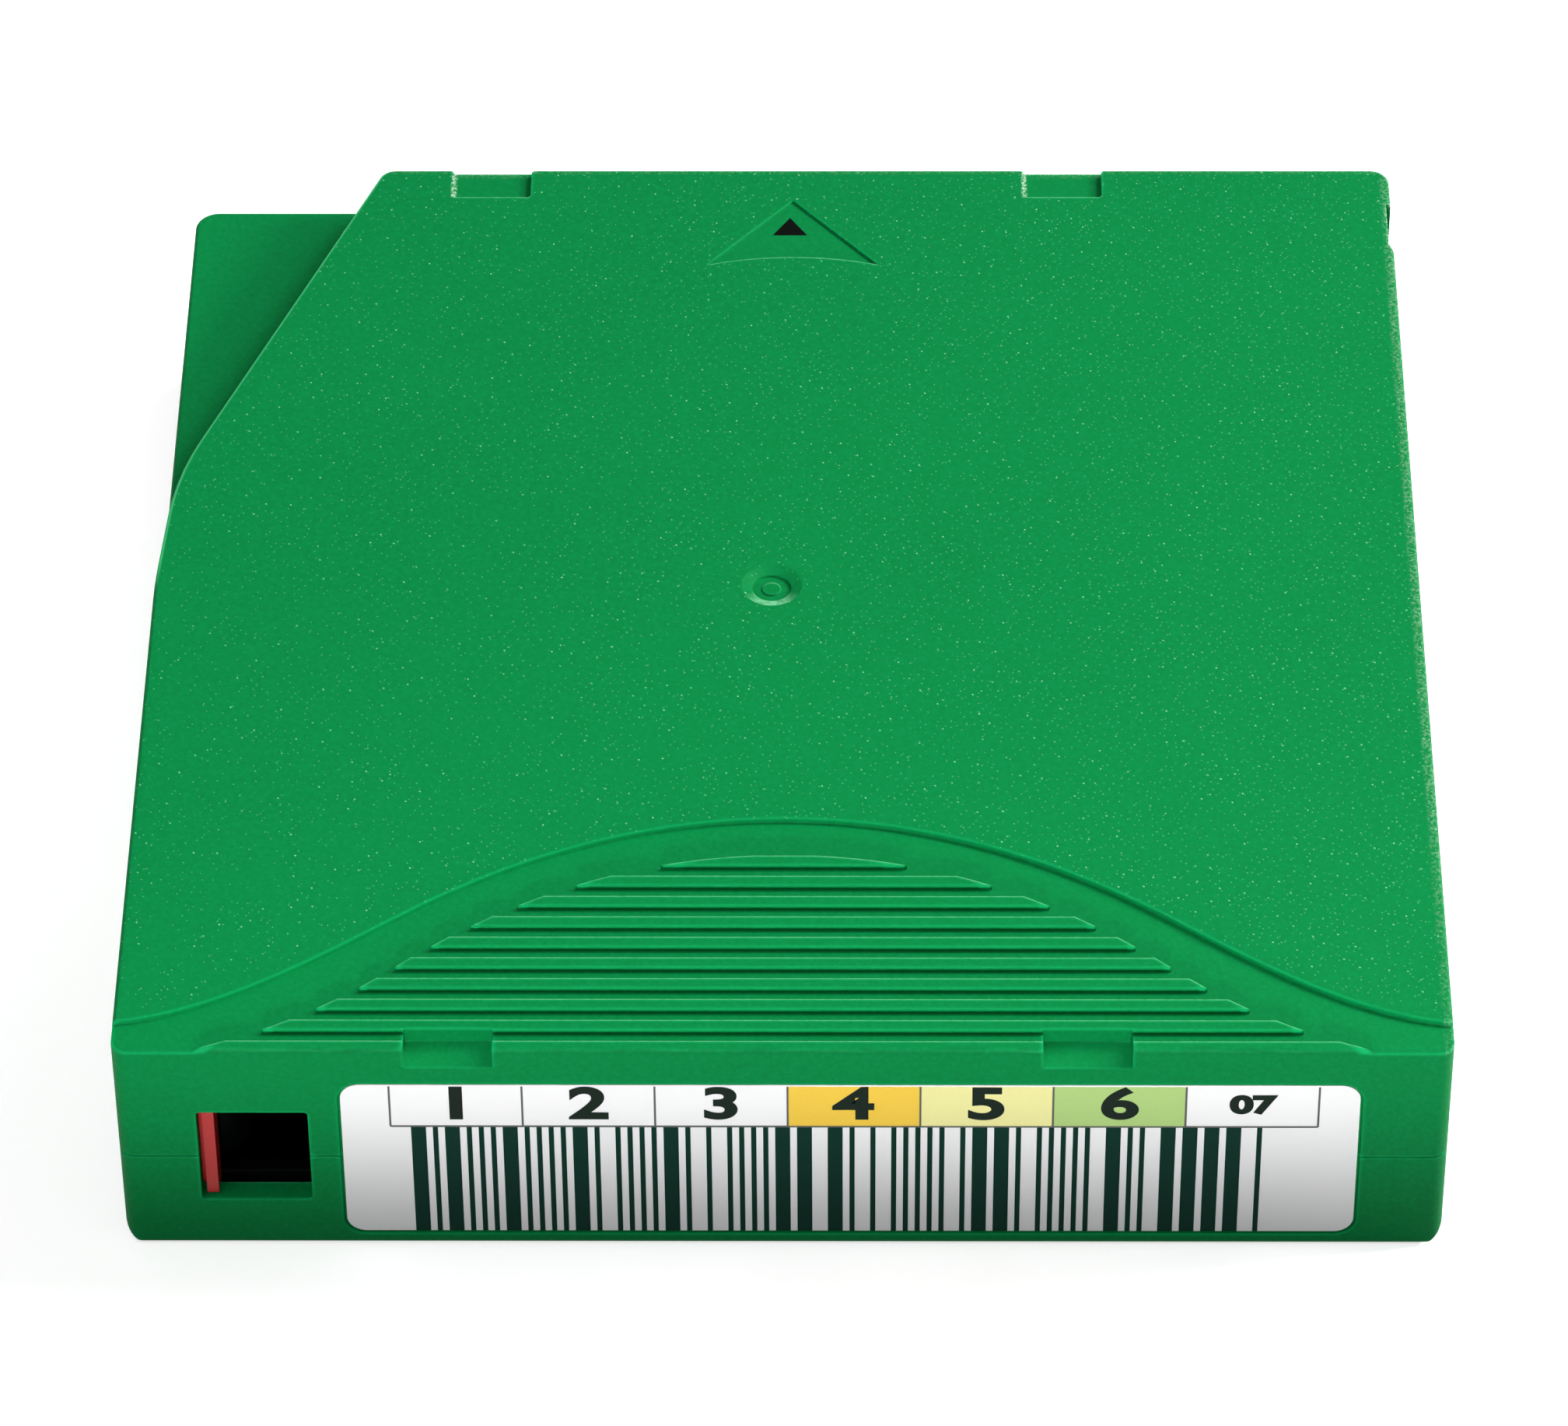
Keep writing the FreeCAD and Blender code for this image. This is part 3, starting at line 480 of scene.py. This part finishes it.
def tile(build, x0, x1, z0, z1, y_back, thickness):
    """A thin closed plate on a face that looks along -Y."""
    corners = []
    for y in (y_back, y_back - thickness):
        for x, z in ((x0, z0), (x1, z0), (x1, z1), (x0, z1)):
            corners.append(build.verts.new((x, y, z)))
    back = corners[:4]
    front = corners[4:]
    build.faces.new(front)
    build.faces.new(list(reversed(back)))
    join_rings(build, back, front)


def to_mesh(build, name):
    bmesh.ops.recalc_face_normals(build, faces=build.faces)
    mesh = bpy.data.meshes.new(name)
    build.to_mesh(mesh)
    build.free()
    return mesh


# ---- label print -----------------------------------------------------------------------------
CELL_INKS = {
    3: rgba(0.827, 0.557, 0.07),
    4: rgba(0.8, 0.774, 0.339),
    5: rgba(0.409, 0.6, 0.209),
}


def cell_x(index):
    return label_lo.x + CELL_LEFT + index * CELL_PITCH


def add_cells():
    """Colour fields of the top row, one piece for each colour."""
    z0 = label_hi.z - CELL_H
    for index, color in CELL_INKS.items():
        build = bmesh.new()
        tile(build, cell_x(index), cell_x(index + 1), z0, label_hi.z - LINE_T, label_lo.y, PRINT_T)
        name = "label_cell_%d" % (index + 1)
        add_object(name, to_mesh(build, name), ink(name + "_ink", color), "case")


def add_lines():
    """Rules between the cells and under the row."""
    build = bmesh.new()
    z0 = label_hi.z - CELL_H
    half = LINE_T / 2
    for index in range(CELL_COUNT + 1):
        x = cell_x(index)
        tile(build, x - half, x + half, z0, label_hi.z - LINE_T, label_lo.y, PRINT_T * 1.5)
    tile(build, cell_x(0), cell_x(CELL_COUNT), z0 - half, z0 + half, label_lo.y, PRINT_T * 1.6)
    material = ink("label_line_ink", rgba(0.10, 0.11, 0.10))
    add_object("label_lines", to_mesh(build, "label_lines"), material, "case")


def bar_widths():
    """A made-up run of thin and wide bars and spaces that stands for no real code."""
    value = 11
    x = label_lo.x + BARS_LEFT
    right = label_hi.x - BARS_RIGHT
    bars = []
    while True:
        value = (value * 29 + 17) % 101
        width = BAR_WIDE if value % 3 == 0 else BAR_THIN
        if x + width > right:
            return bars
        bars.append((x, x + width))
        x += width + (GAP_WIDE if value % 5 == 1 else GAP_THIN)


def add_bars():
    build = bmesh.new()
    z1 = label_hi.z - CELL_H
    for x0, x1 in bar_widths():
        tile(build, x0, x1, label_lo.z + BAR_FOOT, z1, label_lo.y, PRINT_T)
    material = ink("label_bar_ink", rgba(0.001, 0.026, 0.017), 0.5)
    add_object("label_bars", to_mesh(build, "label_bars"), material, "case")


def digit_mesh(name, digits, height):
    """Plain numbers as one closed mesh, flat in XY, centred, and as thick as print along Z."""
    text = bpy.data.curves.new(name, "FONT")
    text.body = digits
    text.size = height
    text.extrude = PRINT_T / 2
    text.offset = DIGIT_WEIGHT
    text.align_x = "CENTER"
    text.align_y = "CENTER"
    text.resolution_u = DIGIT_CURVE_STEPS
    holder = bpy.data.objects.new(name, text)
    bpy.context.scene.collection.objects.link(holder)
    bpy.context.view_layer.update()
    raw = bpy.data.meshes.new_from_object(holder)
    bpy.data.objects.remove(holder)
    build = bmesh.new()
    build.from_mesh(raw)
    bpy.data.meshes.remove(raw)
    bmesh.ops.remove_doubles(build, verts=build.verts, dist=DIGIT_MERGE)
    ys = [vertex.co.y for vertex in build.verts]
    tall = max(ys) - min(ys)
    for vertex in build.verts:
        vertex.co.x *= DIGIT_WIDEN * height / tall
        vertex.co.y *= height / tall
    mesh = to_mesh(build, name)
    mesh.materials.clear()
    return mesh


def add_digits():
    """Plain running numbers in the cells."""
    material = ink("label_digit_ink", rgba(0.006, 0.014, 0.009), 0.35)
    y = label_lo.y - 1.5 * PRINT_T
    z = label_hi.z - CELL_H / 2 + DIGIT_RAISE
    for index in range(CELL_COUNT):
        last = index == CELL_COUNT - 1
        name = "label_digit_%d" % (index + 1)
        digits = LAST_DIGITS if last else str(index + 1)
        mesh = digit_mesh(name, digits, DIGIT_H * (LAST_DIGITS_SHARE if last else 1.0))
        x = (cell_x(index) + cell_x(index + 1)) / 2
        mesh.transform(Matrix(((1, 0, 0, x), (0, 0, -1, y), (0, 1, 0, z), (0, 0, 0, 1))))
        add_object(name, mesh, material, "case")


# ---- screws with a cross recess and a thread -------------------------------------------------
SCREW_HEAD_R = 2.3 * MM
SCREW_HEAD_H = 1.5 * MM
SCREW_R = 1.1 * MM
SCREW_CORE_R = 0.86 * MM
SCREW_TIP_R = 0.45 * MM
SCREW_TIP_L = 0.8 * MM
HEAD_RIM_R = 0.25 * MM
HEAD_RIM_H = 0.2 * MM
THREAD_PITCH = 0.9 * MM
THREAD_STEPS = 6
CROSS_REACH = 1.15 * MM
CROSS_HALF = 0.24 * MM
CROSS_DEPTH = 1.0 * MM
CROSS_TAPER = 0.7
ROUND = 36


def screw_centres():
    """Middle of each screw, from the four corners of the case that hold one each."""
    groups = {}
    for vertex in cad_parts["case_screws"].data.vertices:
        key = (vertex.co.x > 0, vertex.co.y > 0)
        groups.setdefault(key, []).append(vertex.co)
    centres = []
    for points in groups.values():
        xs = [point.x for point in points]
        ys = [point.y for point in points]
        centres.append(((min(xs) + max(xs)) / 2, (min(ys) + max(ys)) / 2))
    return centres


def thread_radius(z, angle):
    phase = (z / THREAD_PITCH - angle / (2 * math.pi)) % 1.0
    return SCREW_CORE_R + (SCREW_R - SCREW_CORE_R) * (1 - abs(2 * phase - 1))


def screw_rings(z0, z1):
    """(height, radius by angle) of each ring, from the rim of the head's face to the tip."""
    seat = z0 + SCREW_HEAD_H
    rings = [
        (z0, lambda angle: SCREW_HEAD_R - HEAD_RIM_R),
        (z0 + HEAD_RIM_H, lambda angle: SCREW_HEAD_R),
        (seat, lambda angle: SCREW_HEAD_R),
        (seat, lambda angle: SCREW_CORE_R),
    ]
    count = int((z1 - SCREW_TIP_L - seat) / THREAD_PITCH * THREAD_STEPS)
    for index in range(1, count):
        z = seat + index * THREAD_PITCH / THREAD_STEPS
        rings.append((z, lambda angle, z=z: thread_radius(z, angle)))
    rings.append((z1, lambda angle: SCREW_TIP_R))
    return rings


def cross_loop(build, x, y, z, scale):
    """Twelve corners of the cross recess, anticlockwise, scaled about its middle."""
    r = CROSS_REACH
    h = CROSS_HALF
    loop = []
    for turn in range(4):
        for a, b in ((h, h), (h, r), (-h, r)):
            for _ in range(turn):
                a, b = -b, a
            loop.append(build.verts.new((x + a * scale, y + b * scale, z)))
    return loop


def ring_edges(build, ring):
    return [build.edges.get((ring[i], ring[(i + 1) % len(ring)])) for i in range(len(ring))]


def add_screw(build, x, y, z0, z1):
    loops = []
    for z, radius in screw_rings(z0, z1):
        loop = []
        for step in range(ROUND):
            angle = 2 * math.pi * step / ROUND
            r = radius(angle)
            loop.append(build.verts.new((x + r * math.cos(angle), y + r * math.sin(angle), z)))
        loops.append(loop)
    for lower, upper in zip(loops, loops[1:]):
        join_rings(build, lower, upper)
    build.faces.new(loops[-1])
    mouth = cross_loop(build, x, y, z0, 1.0)
    bottom = cross_loop(build, x, y, z0 + CROSS_DEPTH, CROSS_TAPER)
    join_rings(build, mouth, bottom)
    build.faces.new(bottom)
    edges = ring_edges(build, loops[0]) + ring_edges(build, mouth)
    bmesh.ops.triangle_fill(build, edges=edges, use_beauty=True)


def add_screws():
    z0, z1 = (corner[2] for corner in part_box("case_screws"))
    build = bmesh.new()
    for x, y in screw_centres():
        add_screw(build, x, y, z0, z1)
    material = brushed_metal("screw_steel", STEEL, 0.32)
    mesh = to_mesh(build, "case_screws_dressed")
    piece = add_object("case_screws_dressed", mesh, material, "case")
    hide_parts("case_screws")


# ---- arrow mark in its recess ----------------------------------------------------------------
def add_arrow_mark():
    build = bmesh.new()
    z = top_z - ARROW_DEPTH
    y = rear_y - ARROW_BACK
    outline = ((-ARROW_HALF, y), (ARROW_HALF, y), (0.0, y + ARROW_LENGTH))
    lower = [build.verts.new((*corner, z)) for corner in outline]
    upper = [build.verts.new((*corner, z + PRINT_T)) for corner in outline]
    build.faces.new(upper)
    build.faces.new(list(reversed(lower)))
    join_rings(build, lower, upper)
    material = ink("arrow_ink", rgba(0.001, 0.002, 0.001), 0.5)
    add_object("arrow_mark", to_mesh(build, "arrow_mark"), material, "case")


# ---- coil springs ----------------------------------------------------------------------------
WIRE_SIDES = 12
HALF_TURN_STEPS = 12
BRAKE_SPRING = {"radius": 8.6 * MM, "wire_r": 0.45 * MM, "turns": 4}
DOOR_SPRING = {"radius": 0.86 * MM, "wire_r": 0.13 * MM, "turns": 10}


def coil_centres(radius, wire_r, turns, length):
    """Middle of the wire along +Z: half turns whose planes tilt left and right in turn."""
    rise = (length - 2 * wire_r) / (2 * turns)
    reach = math.hypot(radius, rise / 2)
    centres = []
    for half in range(2 * turns):
        side = 1 if half % 2 == 0 else -1
        for step in range(HALF_TURN_STEPS):
            angle = math.pi * step / HALF_TURN_STEPS
            z = wire_r + half * rise + rise / 2 * (1 - math.cos(angle))
            x = side * radius * math.cos(angle)
            y = side * reach * math.sin(angle)
            centres.append(Vector((x, y, z)))
    centres.append(Vector((radius, 0.0, length - wire_r)))
    return centres


def coil_mesh(name, place, length, radius, wire_r, turns):
    """Round wire along the coil, closed at both ends. place takes a point to the part's frame."""
    build = bmesh.new()
    centres = coil_centres(radius, wire_r, turns, length)
    rings = []
    for index, centre in enumerate(centres):
        before = centres[max(index - 1, 0)]
        after = centres[min(index + 1, len(centres) - 1)]
        along = (after - before).normalized()
        outward = Vector((centre.x, centre.y, 0.0))
        outward = (outward - along * outward.dot(along)).normalized()
        across = along.cross(outward)
        ring = []
        for corner in range(WIRE_SIDES):
            angle = 2 * math.pi * corner / WIRE_SIDES
            point = centre + wire_r * (math.cos(angle) * outward + math.sin(angle) * across)
            ring.append(build.verts.new(place(point)))
        rings.append(ring)
    for lower, upper in zip(rings, rings[1:]):
        join_rings(build, lower, upper)
    build.faces.new(list(reversed(rings[0])))
    build.faces.new(rings[-1])
    mesh = to_mesh(build, name)
    for face in mesh.polygons:
        face.use_smooth = len(face.vertices) == 4
    return mesh


def add_spring(node, mesh):
    """The coil as a piece of its own in steel, with the node it stands for hidden."""
    piece = bpy.data.objects.new(node + "_coil", mesh)
    bpy.context.scene.collection.objects.link(piece)
    piece.data.materials.append(brushed_metal(node + "_steel", WIRE_STEEL, 0.28))
    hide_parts(node)
    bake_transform(piece)


def add_brake_spring():
    low, high = (Vector(corner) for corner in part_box("brake_spring"))

    def place(point):
        return Vector((reel_x + point.x, reel_y + point.y, low.z + point.z))

    mesh = coil_mesh("brake_spring_coil", place, high.z - low.z, **BRAKE_SPRING)
    add_spring("brake_spring", mesh)


def add_door_spring():
    low, high = (Vector(corner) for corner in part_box("door_spring"))
    x = (low.x + high.x) / 2
    z = (low.z + high.z) / 2

    def place(point):
        return Vector((x + point.x, low.y + point.z, z - point.y))

    mesh = coil_mesh("door_spring_coil", place, high.y - low.y, **DOOR_SPRING)
    add_spring("door_spring", mesh)


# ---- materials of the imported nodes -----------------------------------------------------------
def set_material(node, material):
    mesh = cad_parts[node].data
    mesh.materials.clear()
    mesh.materials.append(material)


def dress_nodes():
    """A material for every CAD node, also for the three that a piece replaces."""
    looks = {
        "upper_shell": case_material("case_top_green", True),
        "lower_shell": case_material("case_bottom_green", False),
        "case_screws": brushed_metal("screw_steel", STEEL, 0.32),
        "barcode_label": label_paper("label_paper"),
        "write_protect_slider": plain_plastic("slider_red", rgba(0.36, 0.007, 0.0056), 0.42),
        "memory_board": plain_plastic("board_green", rgba(0.02, 0.10, 0.045), 0.4),
        "memory_chip": plain_plastic("chip_black", rgba(0.012, 0.012, 0.012), 0.35),
        "access_door": plain_plastic("door_grey", rgba(0.045, 0.046, 0.048), 0.45),
        "door_spring": brushed_metal("door_spring_steel", STEEL, 0.28),
        "leader_pin": brushed_metal("pin_steel", rgba(0.62, 0.62, 0.63), 0.22),
        "pin_clip": plain_plastic("clip_black", rgba(0.02, 0.02, 0.02), 0.4),
        "pin_spring": brushed_metal("pin_spring_steel", STEEL, 0.3),
        "leader_tape": wound_tape("leader_film"),
        "tape_pack": wound_tape("tape_film"),
        "reel_hub": plain_plastic("hub_white", OFF_WHITE, 0.45),
        "upper_flange": plain_plastic("flange_white", OFF_WHITE, 0.42),
        "clutch_plate": turned_metal("clutch_steel", rgba(0.45, 0.45, 0.46), 0.32),
        "brake_button": plain_plastic("brake_white", rgba(0.66, 0.66, 0.64), 0.42),
        "brake_spring": brushed_metal("brake_spring_steel", STEEL, 0.28),
        "release_spider": plain_plastic("release_grey", rgba(0.20, 0.21, 0.22), 0.42),
    }
    for node, material in looks.items():
        set_material(node, material)


# ---- stage -----------------------------------------------------------------------------------
FLOOR_HALF = 0.9
SKY = 0.24
FLOOR_BOUNCE = 0.10
FLOOR_GLOW = 0.58
KEY_PLACE = (0.60, 0.34, 0.72)
KEY_SIZE = (0.40, 0.40)
KEY_POWER = 8.0
SIDE_PLACE = (0.62, 0.10, 0.34)
SIDE_SIZE = (0.16, 0.16)
SIDE_POWER = 3.6
FILL_PLACE = (-0.25, -0.30, 0.62)
FILL_SIZE = (0.5, 0.5)
FILL_POWER = 1.22
STRIP_PLACE = (0.0, front_y - 0.26, 0.072)
STRIP_AIM = (-0.004, front_y, 0.021)
STRIP_SIZE = (0.24, 0.012)
STRIP_POWER = 0.0160
STRIP_SPREAD = 9.0


def add_floor():
    """White to the camera and in reflections, and dull to bounced light."""
    mesh = bpy.data.meshes.new("floor")
    signs = ((-1, -1), (1, -1), (1, 1), (-1, 1))
    corners = [(x * FLOOR_HALF, y * FLOOR_HALF, 0) for x, y in signs]
    mesh.from_pydata(corners, [], [(0, 1, 2, 3)])
    floor = bpy.data.objects.new("floor", mesh)
    bpy.context.scene.collection.objects.link(floor)
    surface = Surface("floor_pale")
    path = surface.node("ShaderNodeLightPath")
    seen = surface.math("MAXIMUM", path.outputs["Is Camera Ray"], path.outputs["Is Glossy Ray"])
    grain = surface.noise(0.2, 2.0)
    bright = surface.mix(grain, grey(0.93), grey(0.96))
    dull = surface.mix(grain, grey(FLOOR_BOUNCE), grey(FLOOR_BOUNCE * 1.1))
    surface.put(surface.shader.inputs["Emission Color"], grey(1.0))
    surface.put(surface.shader.inputs["Emission Strength"], surface.product(seen, FLOOR_GLOW))
    floor.data.materials.append(surface.finish(surface.mix(seen, dull, bright), 0.8))


def add_area_light(name, place, aim, size, power, spread=180.0):
    lamp = bpy.data.lights.new(name, "AREA")
    lamp.shape = "RECTANGLE"
    lamp.size, lamp.size_y = size
    lamp.energy = power
    lamp.spread = math.radians(spread)
    holder = bpy.data.objects.new(name, lamp)
    holder.location = place
    holder.rotation_euler = (Vector(aim) - Vector(place)).to_track_quat("-Z", "Y").to_euler()
    bpy.context.scene.collection.objects.link(holder)


def add_lights():
    world = bpy.data.worlds.new("studio")
    bpy.context.scene.world = world
    world.use_nodes = True
    tree = world.node_tree
    background = tree.nodes["Background"]
    path = tree.nodes.new("ShaderNodeLightPath")
    mixer = tree.nodes.new("ShaderNodeMix")
    mixer.data_type = "FLOAT"
    mixer.inputs[2].default_value = SKY
    mixer.inputs[3].default_value = 1.0
    tree.links.new(path.outputs["Is Camera Ray"], mixer.inputs[0])
    tree.links.new(mixer.outputs[0], background.inputs["Strength"])
    background.inputs["Color"].default_value = (1.0, 1.0, 1.0, 1.0)
    add_area_light("key", KEY_PLACE, (0, 0, 0), KEY_SIZE, KEY_POWER)
    add_area_light("side", SIDE_PLACE, (0, 0, 0), SIDE_SIZE, SIDE_POWER)
    add_area_light("fill", FILL_PLACE, (0, 0, 0), FILL_SIZE, FILL_POWER)
    add_area_light("strip", STRIP_PLACE, STRIP_AIM, STRIP_SIZE, STRIP_POWER, STRIP_SPREAD)


# ---- camera ----------------------------------------------------------------------------------
CAMERA_PLACE = (0.005407, -0.475366, 0.451069)
CAMERA_TURN = (46.962, 0.318, 0.389)
LENS = 182.53


def add_camera():
    lens = bpy.data.cameras.new("camera")
    lens.lens = LENS
    lens.sensor_width = 36.0
    lens.clip_start = 0.01
    camera = bpy.data.objects.new("camera", lens)
    camera.location = CAMERA_PLACE
    camera.rotation_euler = [math.radians(angle) for angle in CAMERA_TURN]
    bpy.context.scene.collection.objects.link(camera)
    bpy.context.scene.camera = camera


# ---- put it together -------------------------------------------------------------------------
dress_nodes()
add_cells()
add_lines()
add_bars()
add_digits()
add_arrow_mark()
add_screws()
add_brake_spring()
add_door_spring()
add_floor()
add_lights()
add_camera()
bpy.context.scene.view_settings.view_transform = "Standard"
